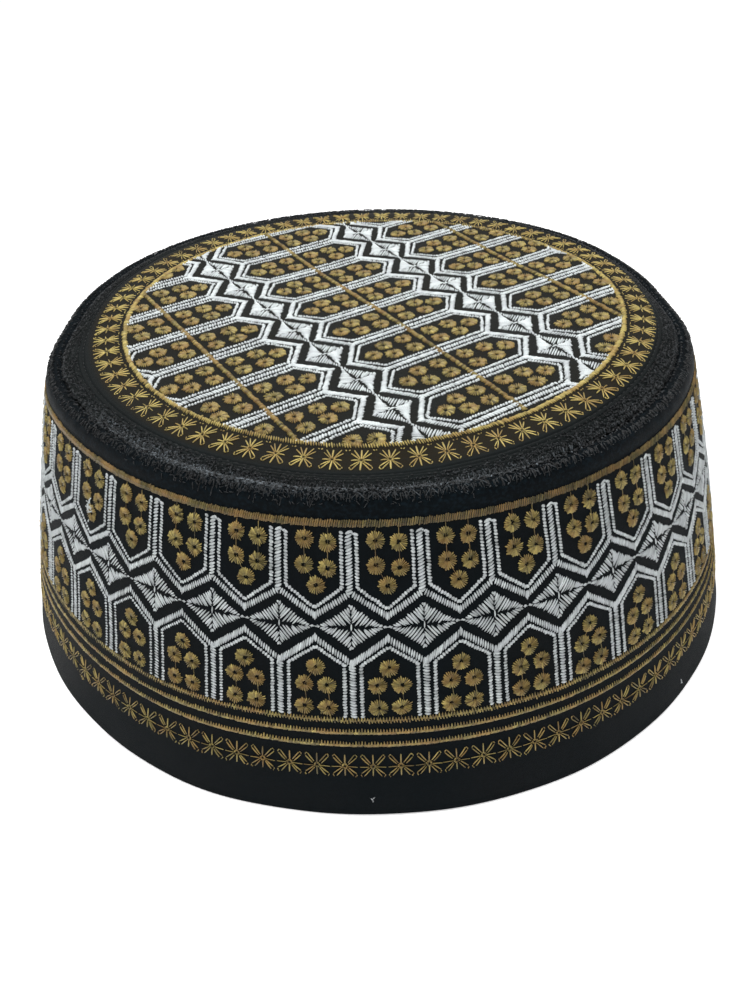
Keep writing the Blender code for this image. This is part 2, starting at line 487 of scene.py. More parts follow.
def stitch_shape(sides):
    """A closed strand with pointed ends that dive into the cloth, made from a sphere with as many rings."""
    shape = bmesh.new()
    bmesh.ops.create_uvsphere(shape, u_segments=sides, v_segments=sides, radius=1.0)
    turn = Matrix.Rotation(radians(-30 if sides == 3 else 0), 3, "Z")
    bmesh.ops.rotate(shape, cent=(0, 0, 0), matrix=turn, verts=shape.verts)
    shape.verts.index_update()
    points = np.array([vert.co for vert in shape.verts])
    faces = [[vert.index for vert in face.verts] for face in shape.faces]
    shape.free()
    along, girth = points[:, 2], np.hypot(points[:, 0], points[:, 1])
    blunt = np.where(girth > 0.01, girth ** 0.8 / np.maximum(girth, 0.01), 0.0)
    across = points[:, 0] * blunt
    up = points[:, 1] * blunt
    around = np.round(np.degrees(np.arctan2(up, across)) + 90, 3) % 360 / 360
    up = np.where(up < 0, up * 0.6, up) - 0.5 * np.abs(along) ** 4
    verts = np.stack([np.round(along, 3), across, up], -1)
    places = []
    for face in faces:
        body = [around[v] for v in face if girth[v] > 0.01]
        wraps = max(body) - min(body) > 0.5
        body = [value + 1 if wraps and value < 0.5 else value for value in body]
        middle = sum(body) / len(body)
        for v in face:
            value = around[v] + 1 if wraps and around[v] < 0.5 else around[v]
            places.append(((verts[v, 0] + 1) / 2, middle if girth[v] < 0.01 else value))
    starts = np.cumsum([0] + [len(face) for face in faces[:-1]])
    return Shape(verts, np.concatenate(faces), starts, np.array(places))


def rows(start, end, width, end_width=None, rise=1.0, tone=0.5, end_tone=None):
    """Stitches as rows of a table: start, end, the widths there, the rise's share and the tones there."""
    start, end = np.atleast_2d(start).astype(float), np.atleast_2d(end).astype(float)
    table = np.empty((len(start), 9))
    table[:, START], table[:, END] = start, end
    table[:, 4] = width
    table[:, 5] = width if end_width is None else end_width
    table[:, RISE], table[:, 7] = rise, tone
    table[:, 8] = tone if end_tone is None else end_tone
    return table


def jittered(table, rng, along=0.07, tones=0.16, turn=0.03):
    """The same stitches, laid a little unevenly."""
    table = table.copy()
    count = len(table)
    run = table[:, END] - table[:, START]
    run /= np.maximum(np.linalg.norm(run, axis=1, keepdims=True), 1e-6)
    table[:, START] -= run * rng.normal(0, along, (count, 1))
    table[:, END] += run * rng.normal(0, along, (count, 1))
    table[:, 0:4] += rng.normal(0, turn, (count, 4))
    table[:, WIDTHS] *= rng.normal(1, 0.07, (count, 1))
    table[:, RISE] *= rng.normal(1, 0.10, count)
    table[:, TONES] = np.clip(table[:, TONES] + rng.normal(0, tones, (count, 1)), 0, 1)
    return table


def sew(name, table, rise, shape, place, look, rng, lift=0.02, taper=TAPER, **jitter):
    """Lays a table of stitches on the cap and joins them in one mesh. jitter says how unevenly they lie."""
    table = jittered(table, rng, **jitter)
    first, _ = place(table[:, 0], table[:, 1])
    last, _ = place(table[:, 2], table[:, 3])
    centre, facing = place((table[:, 0] + table[:, 2]) / 2, (table[:, 1] + table[:, 3]) / 2)
    along = unit(last - first)
    across = unit(np.cross(facing, along))
    up = np.cross(along, across)
    length = np.linalg.norm(last - first, axis=1)
    end = np.abs(shape.verts[:, 0])
    blunt = 1 - np.minimum(2 * taper / np.maximum(length, 0.01), 0.5)[:, None]
    a = np.sign(shape.verts[:, 0]) * np.where((end > 0.01) & (end < 0.99), blunt, end)
    share = (a + 1) / 2
    a = a[..., None]
    from_first, from_last = first[:, None] * (a * (a - 1) / 2), last[:, None] * (a * (a + 1) / 2)
    spine = from_first + centre[:, None] * (1 - a * a) + from_last
    width = table[:, 4, None] * (1 - share) + table[:, 5, None] * share
    height = rise * table[:, RISE, None] * shape.verts[:, 2] + lift
    sideways = across[:, None] * (width * shape.verts[:, 1] / 2)[..., None]
    points = spine + sideways + up[:, None] * height[..., None]

    count, verts, corners = len(table), len(shape.verts), len(shape.corners)
    mesh = bpy.data.meshes.new(name)
    mesh.vertices.add(count * verts)
    mesh.vertices.foreach_set("co", (points * MM).astype(np.float32).ravel())
    mesh.loops.add(count * corners)
    step = np.arange(count)[:, None]
    mesh.loops.foreach_set("vertex_index", (shape.corners[None] + step * verts).astype(np.int32).ravel())
    mesh.polygons.add(count * len(shape.starts))
    mesh.polygons.foreach_set("loop_start", (shape.starts[None] + step * corners).astype(np.int32).ravel())
    mesh.update(calc_edges=True)
    mesh.validate()
    mesh.shade_smooth()

    tones = mesh.attributes.new("tone", "FLOAT", "POINT")
    tone = table[:, 7, None] * (1 - share) + table[:, 8, None] * share
    tones.data.foreach_set("value", tone.astype(np.float32).ravel())
    wound = np.stack([shape.places[None, :, 0] * length[:, None] * MM,
                      np.broadcast_to(shape.places[None, :, 1], (count, corners))], -1)
    side = ceil(count ** 0.5)
    cell = np.stack([np.arange(count) % side, np.arange(count) // side], -1)
    inner = 0.08 + np.array([0.84, 0.72]) * shape.places
    packed = (cell[:, None] + inner[None]) / side
    for uv_map, places in (("thread", wound), ("OFBake", packed)):
        mesh.uv_layers.new(name=uv_map).data.foreach_set("uv", places.astype(np.float32).ravel())
    mesh.uv_layers.active = mesh.uv_layers["thread"]
    mesh.materials.append(look)
    return add_piece(name, mesh)


def add_piece(name, mesh):
    """Puts a finished mesh in the scene as a piece of the cap."""
    piece = bpy.data.objects.new(name, mesh)
    bpy.context.scene.collection.objects.link(piece)
    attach(piece, BODY)
    return piece


def satin(start, end, across, pitch, cover=1.08, end_cover=None, rise=1.0, tone=0.5):
    """A row of stitches from start to end. Each lies along the vector across, with its middle on the row."""
    start, end, across = np.array(start, float), np.array(end, float), np.array(across, float)
    run = end - start
    length = np.hypot(*run)
    count = max(1, round(length / pitch))
    middles = start + run * ((np.arange(count) + 0.5) / count)[:, None]
    spread = abs(run[0] * across[1] - run[1] * across[0]) / np.hypot(*across) / count
    end_width = None if end_cover is None else spread * end_cover
    return rows(middles - across / 2, middles + across / 2, spread * cover, end_width, rise, tone)


def mirrored(table, x=1, y=1):
    """The stitches mirrored across one or both axes."""
    return table * np.array([x, y, x, y, 1, 1, 1, 1, 1])


def moved(table, x=0.0, y=0.0):
    """The stitches moved along the layout."""
    return table + np.array([x, y, x, y, 0, 0, 0, 0, 0])


def bent(table, change):
    """The stitches with both ends moved by change, which takes two coordinates and gives two."""
    table = table.copy()
    for column in (0, 2):
        table[:, column], table[:, column + 1] = change(table[:, column], table[:, column + 1])
    return table


def rosette(radius, petals, rng):
    """Stitches that run out from a small hole, wider at their outer ends, and painted darker at their inner
    ends as shade round the hole.
    """
    angle = tau * (np.arange(petals) + rng.uniform(0, 1)) / petals
    out = np.stack([np.cos(angle), np.sin(angle)], -1)
    hole = rng.normal(0, 0.06, 2)
    reach = radius * (1 + rng.uniform(-0.08, 0.09, petals))
    width = tau * radius / petals
    inner = out * (0.24 + rng.uniform(0, 0.08, petals))[:, None] + hole
    # Tone 0.30 at the inner end and 0.50 at the outer end: painted shade round the hole.
    table = rows(inner, out * reach[:, None], width * 0.48, width * 0.86, 1.6, 0.30, 0.50)
    table[:, 8] += rng.normal(0, 0.06)
    return table


def slanting_band(half, way, pitch):
    """The wide band of one half, from column to tip, to the right for way 1 and to the left for -1."""
    reach = REPEAT / 2
    slope = (half.band_tip - half.band_peak) / reach
    count = round(reach / (pitch * 0.82))
    x = reach * (np.arange(count) + 0.35) / count
    base = np.stack([x, half.band_peak + slope * x], -1)
    at_column = half.leans[1] if way > 0 else -half.leans[0]
    at_tip = half.leans[2] * way
    lean = np.radians(at_column + (at_tip - at_column) * (x / reach) ** 2)
    length = half.band_height / (np.cos(lean) - slope * np.sin(lean))
    tip = base + np.stack([np.sin(lean), np.cos(lean)], -1) * length[:, None]
    band = rows(base, tip, pitch * 0.82, pitch * 0.76)
    if way > 0:
        point = rows((reach, half.band_tip - 0.25), (reach, half.band_tip + half.band_height), pitch * 0.85)
        band = np.concatenate([band, point])
    return mirrored(band, x=way)


def half_motif(half, pitch):
    """The column and the two bands on one side of the chain, as white stitches round one column."""
    left, middle, right = half.bars_at
    wide = pitch * 1.13
    wide_bar = (half.bar_width, half.bar_slant)
    parts = [satin((middle, half.bars_from), (middle, half.bars_to), wide_bar, wide, 1.10)]
    for way, x, slant in ((-1, left, half.thin_slants[0]), (1, right, half.thin_slants[1])):
        top = half.bars_to - (0.4 if half.sign > 0 and way > 0 else 0.0)
        parts.append(satin((x, half.thin_peak), (x, top), (1.08, slant), wide, 1.12))
        thin_end = (way * REPEAT / 2, half.thin_tip)
        across = (way * 0.50, half.thin_width + 0.16)
        parts.append(satin((x, half.thin_peak + 0.2), thin_end, across, pitch * 1.08, 1.08))
        parts.append(slanting_band(half, way, pitch))
    return mirrored(np.concatenate(parts), y=half.sign)


def corner_turn(half):
    """Travelling stitches that round the corner from the wide bar to the right thin bar."""
    _, middle, right = half.bars_at
    top = half.bars_to
    inner = [(middle + 0.35, top - 0.55), (middle + 0.75, top - 0.75), (middle + 1.00, top - 0.95)]
    outer = [(middle + 1.05, top - 0.15), (middle + 1.6, top - 0.38), (right + 0.50, top - 0.75)]
    return rows(inner, outer, 0.5)


def diamond(half_width, up, down, pitch, rng):
    """Four quarters of satin whose stitches run from the outline to the diamond's two axes."""
    parts = [rows((0, -1.0), (0, 1.0), 0.34)]
    for way in (-1, 1):
        for top in (up, -down):
            tall = abs(top)
            count = round(np.hypot(half_width, tall) / (pitch * 1.06))
            t = (np.arange(count) + 0.35) / count
            edge = np.stack([half_width * (1 - t), tall * t], -1)
            square = np.arctan2(half_width, tall)
            fan = np.clip(1 - t / 0.40, 0, 1) * -0.72 + np.clip((t - 0.70) / 0.30, 0, 1) * 0.42 - 0.05
            angle = square + fan + rng.normal(0, 0.03, count)
            aim = np.stack([np.cos(angle), np.sin(angle)], -1)
            upright, level = edge[:, 0] / aim[:, 0], edge[:, 1] / aim[:, 1]
            length = np.where(upright < level, upright + 0.05, level - 0.16) + rng.normal(0, 0.14, count)
            foot = edge - aim * np.maximum(length, 0.35)[:, None]
            edge = edge + aim * rng.normal(0, 0.10, (count, 1))
            part = rows(foot, edge, pitch * 0.60, pitch * 0.98, 1.0, 0.42, 0.52)
            parts.append(mirrored(part, x=way, y=np.sign(top)))
        parts.append(rows((way * (half_width - 1.1), 0.03), (way * (half_width + 0.35), 0), 0.30, 0.26, 0.9))
    return np.concatenate(parts)


def knot(radius, petals, tone):
    """A star's middle: short stitches round a small hole, painted darker at their inner ends as shade round
    the hole.
    """
    angle = tau * (np.arange(petals) + 0.5) / petals
    out = np.stack([np.cos(angle), np.sin(angle)], -1)
    # The inner ends are a quarter darker in tone: painted shade round the hole.
    return rows(out * 0.20, out * radius, 0.22, tau * radius / petals * 0.95, 1.2, tone, tone + 0.25)


def strands(runs, width, tone):
    """Thin stitches that follow each other through the places of each run."""
    parts = []
    for run in runs:
        for start, end in zip(run, run[1:]):
            parts.append(rows(start, end, width, width * 0.94, 0.9, tone))
    return np.concatenate(parts)


def side_star():
    """Rays up and down, and four loops on the diagonals, as sewn round the side."""
    half = strands([((0.45, 0.65), (1.95, 2.90), (2.30, 2.80), (2.38, 2.25), (0.75, 0.30)),
                    ((0.40, -0.60), (1.80, -2.62)),
                    ((0.60, -0.32), (2.38, -2.00), (2.34, -2.60), (2.05, -2.66))], 0.27, 0.35)
    rays = strands([((0, 0.40), (0, 3.05)), ((0, -0.40), (0, -2.62))], 0.36, 0.33)
    return np.concatenate([half, mirrored(half, x=-1), rays, knot(0.72, 8, 0.10)])


def crown_star():
    """Rays in and out, open pairs that point in, closed loops that point out, and a strand to each side."""
    half = strands([((0.22, 0.50), (1.58, 3.15)), ((0.45, 0.45), (2.25, 2.25)), ((0.50, 0.05), (2.15, -0.10)),
                    ((0.40, -0.40), (2.25, -2.15), (2.22, -2.80), (1.78, -3.05), (0.22, -0.60))], 0.32, 0.90)
    rays = strands([((0, 0.30), (-0.10, 3.25)), ((0, -0.30), (-0.05, -3.25))], 0.44, 0.94)
    return np.concatenate([half, mirrored(half, x=-1), rays, knot(0.80, 9, 0.38)])


def repeated(table, count, step):
    """Copies of the stitches, each moved on by one step."""
    return np.concatenate([moved(table, x=index * step) for index in range(count)])


def spiked(length, height, reach, pitch):
    """A gold line with a dense lower edge and a spiky upper edge."""
    middle, foot = height + reach / 2, height + 0.42
    spikes = satin((0, middle), (length, middle), (0.05, reach), pitch, cover=1.15, end_cover=0.52, tone=0.27)
    base = satin((0, foot), (length, foot), (1.6, 0.10), 0.95, cover=1.0, rise=0.8)
    base[:, WIDTHS] = 0.88
    base[:, TONES] = 0.26
    return np.concatenate([spikes, base])


def side_rosettes(half, stitches, rng):
    """The rosettes on one side of the chain in one cell."""
    radius = stitches.rosette_radius / MM
    parts = []
    for x, height in half.rosettes:
        spots = rosette(radius, stitches.petals, rng)
        parts.append(moved(spots, x + rng.normal(0, 0.05), half.sign * height + rng.normal(0, 0.06)))
    return np.concatenate(parts)


def jumps(half):
    """Thin threads from rosette to rosette and on to the gold line."""
    line = 21.2
    spots = half.rosettes
    if half.sign > 0:
        pairs = [(spots[0], (spots[0][0] + 0.1, line)), (spots[1], (spots[1][0], line)),
                 (spots[0], spots[2]), (spots[1], spots[3]), (spots[2], spots[4])]
    else:
        pairs = [(spots[0], spots[1]), (spots[1], (spots[3][0] + 0.5, spots[3][1])),
                 (spots[2], (spots[4][0] + 0.6, spots[4][1])), (spots[3], (spots[3][0] - 0.1, line)),
                 (spots[4], (spots[4][0] - 0.2, line))]
    starts, ends = zip(*pairs)
    return mirrored(rows(starts, ends, 0.19, rise=0.35, tone=0.10), y=half.sign)


# Crown layout

def crown_pattern(along, out):
    """Places seen from above, from the distance along the chains and across the stripes."""
    slipped = along + STRIPE_SLIP * (out / STRIPE + 0.5)
    x = PATTERN_ORIGIN[0] + cos(PATTERN_TURN) * slipped - sin(PATTERN_TURN) * out
    y = PATTERN_ORIGIN[1] + sin(PATTERN_TURN) * slipped + cos(PATTERN_TURN) * out
    return x, y


def motif_place(x, out, along, chain):
    """A place of the side's motif in the crown's stripes, as seen from above."""
    return crown_pattern(along + x * PATTERN_REPEAT / REPEAT, chain + out * CROWN_STRETCH)


def within(table, radius):
    """The stitches inside the crown's gold circle. One that crosses it is cut there."""
    table = table.copy()
    centre = np.array(CROWN_CENTRE)
    first = np.linalg.norm(table[:, START] - centre, axis=1)
    last = np.linalg.norm(table[:, END] - centre, axis=1)
    for near, far, here, there in ((first, last, START, END), (last, first, END, START)):
        crosses = (near < radius) & (far > radius)
        share = np.clip((radius - near) / np.maximum(far - near, 1e-6), 0, 1)[:, None]
        cut = table[:, here] + (table[:, there] - table[:, here]) * share
        table[:, there] = np.where(crosses[:, None], cut, table[:, there])
    length = np.linalg.norm(table[:, END] - table[:, START], axis=1)
    return table[((first < radius) | (last < radius)) & (length > 0.25)]


def crown_repeats():
    """Every place of the motif that reaches the crown's disc: along the chain, and the chain's own place."""
    chains = (-1.5 * STRIPE, -0.5 * STRIPE, 0.5 * STRIPE, 1.5 * STRIPE)
    return [(step * PATTERN_REPEAT, chain) for chain in chains for step in range(-6, 7)]


def star_drift(along, radius):
    """Moves the crown's stars back where they drift. along is measured on their ring."""
    angle, reach, back = STAR_DRIFT
    apart = along / CROWN_STAR_RADIUS - radians(angle)
    return along - back * np.exp(-(apart / radians(reach)) ** 2), radius


def round_crown(table, ring):
    """Stitches laid out along a line, bent round the crown. The line's length is measured at the ring."""
    def place(along, radius):
        angle = along / ring
        return CROWN_CENTRE[0] + radius * np.sin(angle), CROWN_CENTRE[1] - radius * np.cos(angle)
    return bent(table, place)


# Cloth

def turned(name, section, closed, steps):
    """A cloth shell made by spinning a section once round Z."""
    shape = bmesh.new()
    verts = [shape.verts.new((radius * MM, 0.0, height * MM)) for radius, height in section]
    edges = [shape.edges.new(pair) for pair in zip(verts, verts[1:])]
    if closed:
        edges.append(shape.edges.new((verts[-1], verts[0])))
    bmesh.ops.spin(shape, geom=verts + edges, cent=(0, 0, 0), axis=(0, 0, 1), dvec=(0, 0, 0), angle=tau,
                   steps=steps, use_merge=True, use_duplicate=False)
    bmesh.ops.remove_doubles(shape, verts=shape.verts, dist=0.01 * MM)
    bmesh.ops.recalc_face_normals(shape, faces=shape.faces)
    mesh = bpy.data.meshes.new(name)
    shape.to_mesh(mesh)
    shape.free()
    mesh.shade_smooth()
    return mesh


def read(items, name, width=1, kind=np.int32):
    """One property of all of a mesh's points, corners or faces."""
    values = np.empty(len(items) * width, kind)
    items.foreach_get(name, values)
    return values if width == 1 else values.reshape(-1, width)


def unrolled(mesh, radius):
    """Gives a turned shell a map in metres: round the cap, and up its section."""
    points = read(mesh.vertices, "co", 3, float)[read(mesh.loops, "vertex_index")]
    turn = np.arctan2(points[:, 1], points[:, 0])
    first = np.repeat(turn[read(mesh.polygons, "loop_start")], read(mesh.polygons, "loop_total"))
    turn = first + (turn - first + pi) % tau - pi
    rise = points[:, 2] + (radius * MM - np.hypot(points[:, 0], points[:, 1]))
    places = np.stack([turn * radius * MM, rise], -1)
    mesh.uv_layers.new(name="cloth").data.foreach_set("uv", places.astype(np.float32).ravel())


def pushed(mesh, change):
    """Moves a mesh's points. change takes radius, angle from the front and height, and gives two moves."""
    points = read(mesh.vertices, "co", 3, float) / MM
    radius = np.hypot(points[:, 0], points[:, 1])
    angle = np.arctan2(points[:, 0], -points[:, 1])
    out, rise = change(radius, angle, points[:, 2])
    points[:, 0:2] *= ((radius + out) / np.maximum(radius, 0.01))[:, None]
    points[:, 2] += rise
    mesh.vertices.foreach_set("co", (points * MM).astype(np.float32).ravel())
    mesh.update()


def ripple(angle, terms, rng):
    """A smooth uneven wave round the cap, about one unit high. terms are counts of waves."""
    wave = np.zeros_like(angle)
    for count in terms:
        wave += rng.normal(0, 1) * np.sin(count * angle + rng.uniform(0, tau))
    return wave / len(terms) ** 0.5


def arc(centre, half_width, half_height, start, end, steps):
    """Points along an ellipse's arc, from the start angle to the end angle in degrees."""
    points = []
    for step in range(steps + 1):
        angle = radians(start + (end - start) * step / steps)
        points.append((centre[0] + half_width * cos(angle), centre[1] + half_height * sin(angle)))
    return points


def side_section(cap):
    """Round the wall: up the outside, over the top edge, down the inside, round the turned hem."""
    fold = 0.8
    outside = np.linspace(fold, cap.wall_height - 0.3, 40)
    section = [(float(cap.wall_radius(h)), h) for h in outside]
    top = float(cap.wall_radius(cap.wall_height))
    section += [(top - 0.25, cap.wall_height), (top - cap.wall_thickness + 0.25, cap.wall_height)]
    inside = np.linspace(cap.wall_height - 0.3, 2 * fold, 14)
    section += [(float(cap.wall_radius(h)) - cap.wall_thickness, h) for h in inside]
    section += arc((cap.hem_radius - cap.wall_thickness + fold, fold), fold, fold, 180, 270, 4)[1:]
    section += arc((cap.hem_radius - fold, fold), fold, fold, 270, 360, 5)[:-1]
    return section


class KUFI_OT_side_cloth(bpy.types.Operator):
    """Build the side band's cloth, with its turned hem"""
    bl_idname = "kufi.side_cloth"
    bl_label = "Side cloth"

    def execute(self, context):
        cap, colours, stitches = settings(context)
        rng = np.random.default_rng(11)
        mesh = turned("side_cloth", side_section(cap), True, 240)

        def settle(radius, angle, height):
            low = np.clip(1 - height / 16, 0, 1) ** 1.5
            hem = ripple(angle, (3, 5, 8, 13, 21), rng) * 0.16 * low
            pulls = ripple(angle, (29, 36, 47), rng) * 0.05 * np.sin(height / 5.5)
            lean = ripple(angle, (2, 3, 4), rng) * 0.10 * np.sin(pi * height / cap.wall_height)
            worn = cap.push(angle, np.clip(height / cap.wall_height, 0, 1))
            return worn + hem + pulls + lean, np.maximum(ripple(angle, (4, 7, 11), rng), 0) * 0.12 * low
        pushed(mesh, settle)
        unrolled(mesh, cap.hem_radius)
        look = cloth_look("side_cloth", colours.cloth, stitches.weave_pitch, 0.72, 0.07, from_map=True)
        mesh.materials.append(look)
        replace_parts(add_piece("side_cloth", mesh), "side_band")
        return {"FINISHED"}


class KUFI_OT_roll_cloth(bpy.types.Operator):
    """Build the padded edge roll"""
    bl_idname = "kufi.roll_cloth"
    bl_label = "Edge roll"

    def execute(self, context):
        cap, colours, stitches = settings(context)
        rng = np.random.default_rng(12)
        radius, height = cap.roll_point(np.linspace(-20, 200, 34))
        foot = float(cap.wall_height) - 0.4
        section = [(cap.shoulder_radius - 1.0, foot)]
        section += [(float(r), float(h)) for r, h in zip(radius, height)]
        section += [(cap.crown_radius - 0.2, cap.wall_height + 0.9), (cap.shoulder_radius - 3.4, foot)]
        mesh = turned("roll_cloth", section, True, 360)

        def pucker(radius, angle, height):
            top = np.clip((height - cap.wall_height) / 2, 0, 1)
            short = ripple(angle, (61, 83, 97, 113), rng) * 0.07 * top
            long = ripple(angle, (5, 9, 14), rng) * 0.10 * top
            return cap.push(angle, 1) + long * 0.6 + short * 0.5, short + long
        pushed(mesh, pucker)
        unrolled(mesh, cap.shoulder_radius)
        look = cloth_look("roll_cloth", colours.roll, stitches.weave_pitch, 0.60, 0.045,
                          from_map=True, nap=7.0)
        mesh.materials.append(look)
        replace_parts(add_piece("roll_cloth", mesh), "edge_roll")
        return {"FINISHED"}


class KUFI_OT_crown_cloth(bpy.types.Operator):
    """Build the crown, with the stitched rings sunk in its rim"""
    bl_idname = "kufi.crown_cloth"
    bl_label = "Crown cloth"

    def execute(self, context):
        cap, colours, stitches = settings(context)
        rng = np.random.default_rng(13)
        radii = np.concatenate([np.linspace(0, cap.panel_radius, 18), np.linspace(63.6, 69.6, 12),
                                np.linspace(69.8, cap.crown_radius - 0.1, 36)])
        section = [(float(r), float(cap.crown_level(r)) - ring_depth(r)) for r in radii]
        section.append((cap.crown_radius, cap.lip_height - 0.6))
        lip_inside = cap.crown_radius - cap.crown_thickness
        section += arc((cap.panel_radius, cap.lip_height - 0.6), lip_inside - cap.panel_radius,
                       cap.panel_height - cap.crown_thickness - cap.lip_height + 0.6, 0, 90, 8)
        section += [(float(r), float(cap.crown_level(r)) - cap.crown_thickness) for r in radii[16::-2]]
        mesh = turned("crown_cloth", section, False, 240)

        def settle(radius, angle, height):
            edge = np.clip((radius - 62) / 4, 0, 1)
            short = ripple(angle, (31, 47, 61), rng) * np.clip((radius - 69) / 3, 0, 1)
            long = ripple(angle, (5, 9, 13), rng) * 0.07 * edge
            rise = cap.crown_uneven(radius, angle) + long + short * 0.05
            return cap.push(angle, 1) * smooth((radius - 66) / 8), rise
        pushed(mesh, settle)
        look = cloth_look("crown_cloth", colours.crown, stitches.weave_pitch, 0.55, 0.12, colours.tint)
        mesh.materials.append(look)
        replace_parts(add_piece("crown_cloth", mesh), "crown")
        return {"FINISHED"}


def ring_depth(radius):
    """How far the stitched rings pull the shoulder's cloth down."""
    return sum(0.34 * np.exp(-((radius - ring) / 0.24) ** 2) for ring in RINGS)


def settings(context):
    """The cap's surface, the colours and the stitches' sizes."""
    return Surface(context), context.scene.kufi_colours, context.scene.kufi_stitches


class KUFI_OT_side_white(bpy.types.Operator):
    """Sew the white columns, zigzags and diamonds round the side"""
    bl_idname = "kufi.side_white"
    bl_label = "White threads of the side"

    def execute(self, context):
        cap, colours, stitches = settings(context)
        pitch, rise = stitches.white_pitch / MM, stitches.thread_rise / MM
        rng = np.random.default_rng(21)
        shape, look = stitch_shape(FULL), thread_look(colours, "white")
        lay = partial(sew, shape=shape, place=cap.on_side, look=look, rng=rng)

        def sew_round(name, motif):
            table = moved(repeated(motif, stitches.repeats, REPEAT), COLUMN_START, CHAIN_HEIGHT)
            # The side's whites are painted darker than the crown's: painted shade, as the wall gets less
            # light than the top.
            table[:, TONES] -= 0.08
            lay(name, table, rise * 1.2, taper=WHITE_TAPER, along=0.05)
        sew_round("side_upper_columns", np.concatenate([half_motif(UPPER, pitch), corner_turn(UPPER)]))
        sew_round("side_lower_columns", half_motif(LOWER, pitch))
        sew_round("side_diamonds", diamond(7.2, 5.2, 5.3, pitch, rng))
        specks = []
        for degrees, height, count, spread, reach, width, tone in LINT:
            middle = rng.normal(0, spread, (count, 2)) + (degrees / TURN_FROM_REPEAT, height)
            run = rng.normal(0, reach, (count, 2))
            specks.append(rows(middle - run, middle + run, width, 0.14, 0.8, tone))
        lay("side_lint", np.concatenate(specks), rise, lift=0.30, taper=FINE_TAPER)
        return {"FINISHED"}


class KUFI_OT_side_gold(bpy.types.Operator):
    """Sew the gold rosettes, lines and stars round the side"""
    bl_idname = "kufi.side_gold"
    bl_label = "Gold threads of the side"

    def execute(self, context):
        cap, colours, stitches = settings(context)
        pitch, rise = stitches.gold_pitch / MM, stitches.thread_rise / MM
        rng = np.random.default_rng(22)
        full, fine = stitch_shape(FULL), stitch_shape(FINE)
        lay = partial(sew, place=cap.on_side, look=thread_look(colours, "gold"), rng=rng)
        cells = []
        for index in range(stitches.repeats):
            for half in (UPPER, LOWER):
                spots = side_rosettes(half, stitches, rng)
                cells.append(moved(spots, COLUMN_START + index * REPEAT, CHAIN_HEIGHT))
        lay("side_rosettes", np.concatenate(cells), rise, fine, along=0.08, tones=0.19)
        joins = np.concatenate([jumps(UPPER), jumps(LOWER)])
        joins = moved(repeated(joins, stitches.repeats, REPEAT), COLUMN_START, CHAIN_HEIGHT)
        lay("side_jump_threads", joins, rise, fine, taper=FINE_TAPER)

        around = stitches.repeats * REPEAT
        top = satin((0, TOP_LINE), (around, TOP_LINE), (0.42, 1.75), pitch * 0.80,
                    cover=1.14, end_cover=1.02, rise=1.3, tone=0.04)
        lay("side_top_line", top, rise, fine, taper=FINE_TAPER, along=0.08, tones=0.08)
        upper, lower = DOUBLE_LINE
        shift = pitch / 2
        lines = [
            satin((0, upper), (around, upper), (0.10, 1.25), pitch, cover=1.00, end_cover=0.52, tone=0.29),
            satin((shift, lower), (around + shift, lower), (0.10, -1.10), pitch,
                  cover=1.00, end_cover=0.52, rise=0.9, tone=0.29),
            *[spiked(around, height, 1.50, pitch) for height in SPIKED_LINES],
        ]
        lay("side_gold_lines", np.concatenate(lines), rise, fine, along=0.10, tones=0.17)

        step = around / stitches.side_stars
        link = strands([((0.5, -0.10), (2.70, -0.25)), ((2.80, -0.22), (step - 0.5, -0.10))], 0.25, 0.50)
        stars, links = [moved(repeated(motif, stitches.side_stars, step), STAR_START, STAR_HEIGHT)
                        for motif in (side_star(), link)]
        lay("side_stars", stars, rise, full, taper=FINE_TAPER, along=0.04, tones=0.15, turn=0.04)
        knots = [moved(strands(STRAY_KNOT, 0.30, 0.6), degrees / TURN_FROM_REPEAT, height)
                 for degrees, height in STRAY_KNOTS]
        lay("side_star_links", np.concatenate([links, *knots]), rise, fine, taper=FINE_TAPER, tones=0.2)
        return {"FINISHED"}


class KUFI_OT_crown_white(bpy.types.Operator):
    """Sew the white stripes of the crown"""
    bl_idname = "kufi.crown_white"
    bl_label = "White threads of the crown"

    def execute(self, context):
        cap, colours, stitches = settings(context)
        pitch, rise = stitches.white_pitch / MM, stitches.thread_rise / MM
        rng = np.random.default_rng(31)
        shape, look = stitch_shape(FULL), thread_look(colours, "white")
        columns = np.concatenate([half_motif(half, pitch) for half in (CROWN_OUT, CROWN_IN)])
        motifs = {"crown_columns": columns, "crown_diamonds": diamond(7.2, 5.25, 5.25, pitch, rng)}
        for name, motif in motifs.items():
            table = [bent(motif, partial(motif_place, along=along, chain=chain))
                     for along, chain in crown_repeats()]
            table = within(np.concatenate(table), CIRCLE_RADIUS - 0.2)
            # The crown's whites are painted brighter than the side's: a painted highlight where the top
            # catches more light.
            table[:, TONES] = 0.95
            sew(name, table, rise * 1.3, shape, cap.on_crown, look, rng, taper=WHITE_TAPER,
                along=0.09, tones=0.18, turn=0.04)
        return {"FINISHED"}


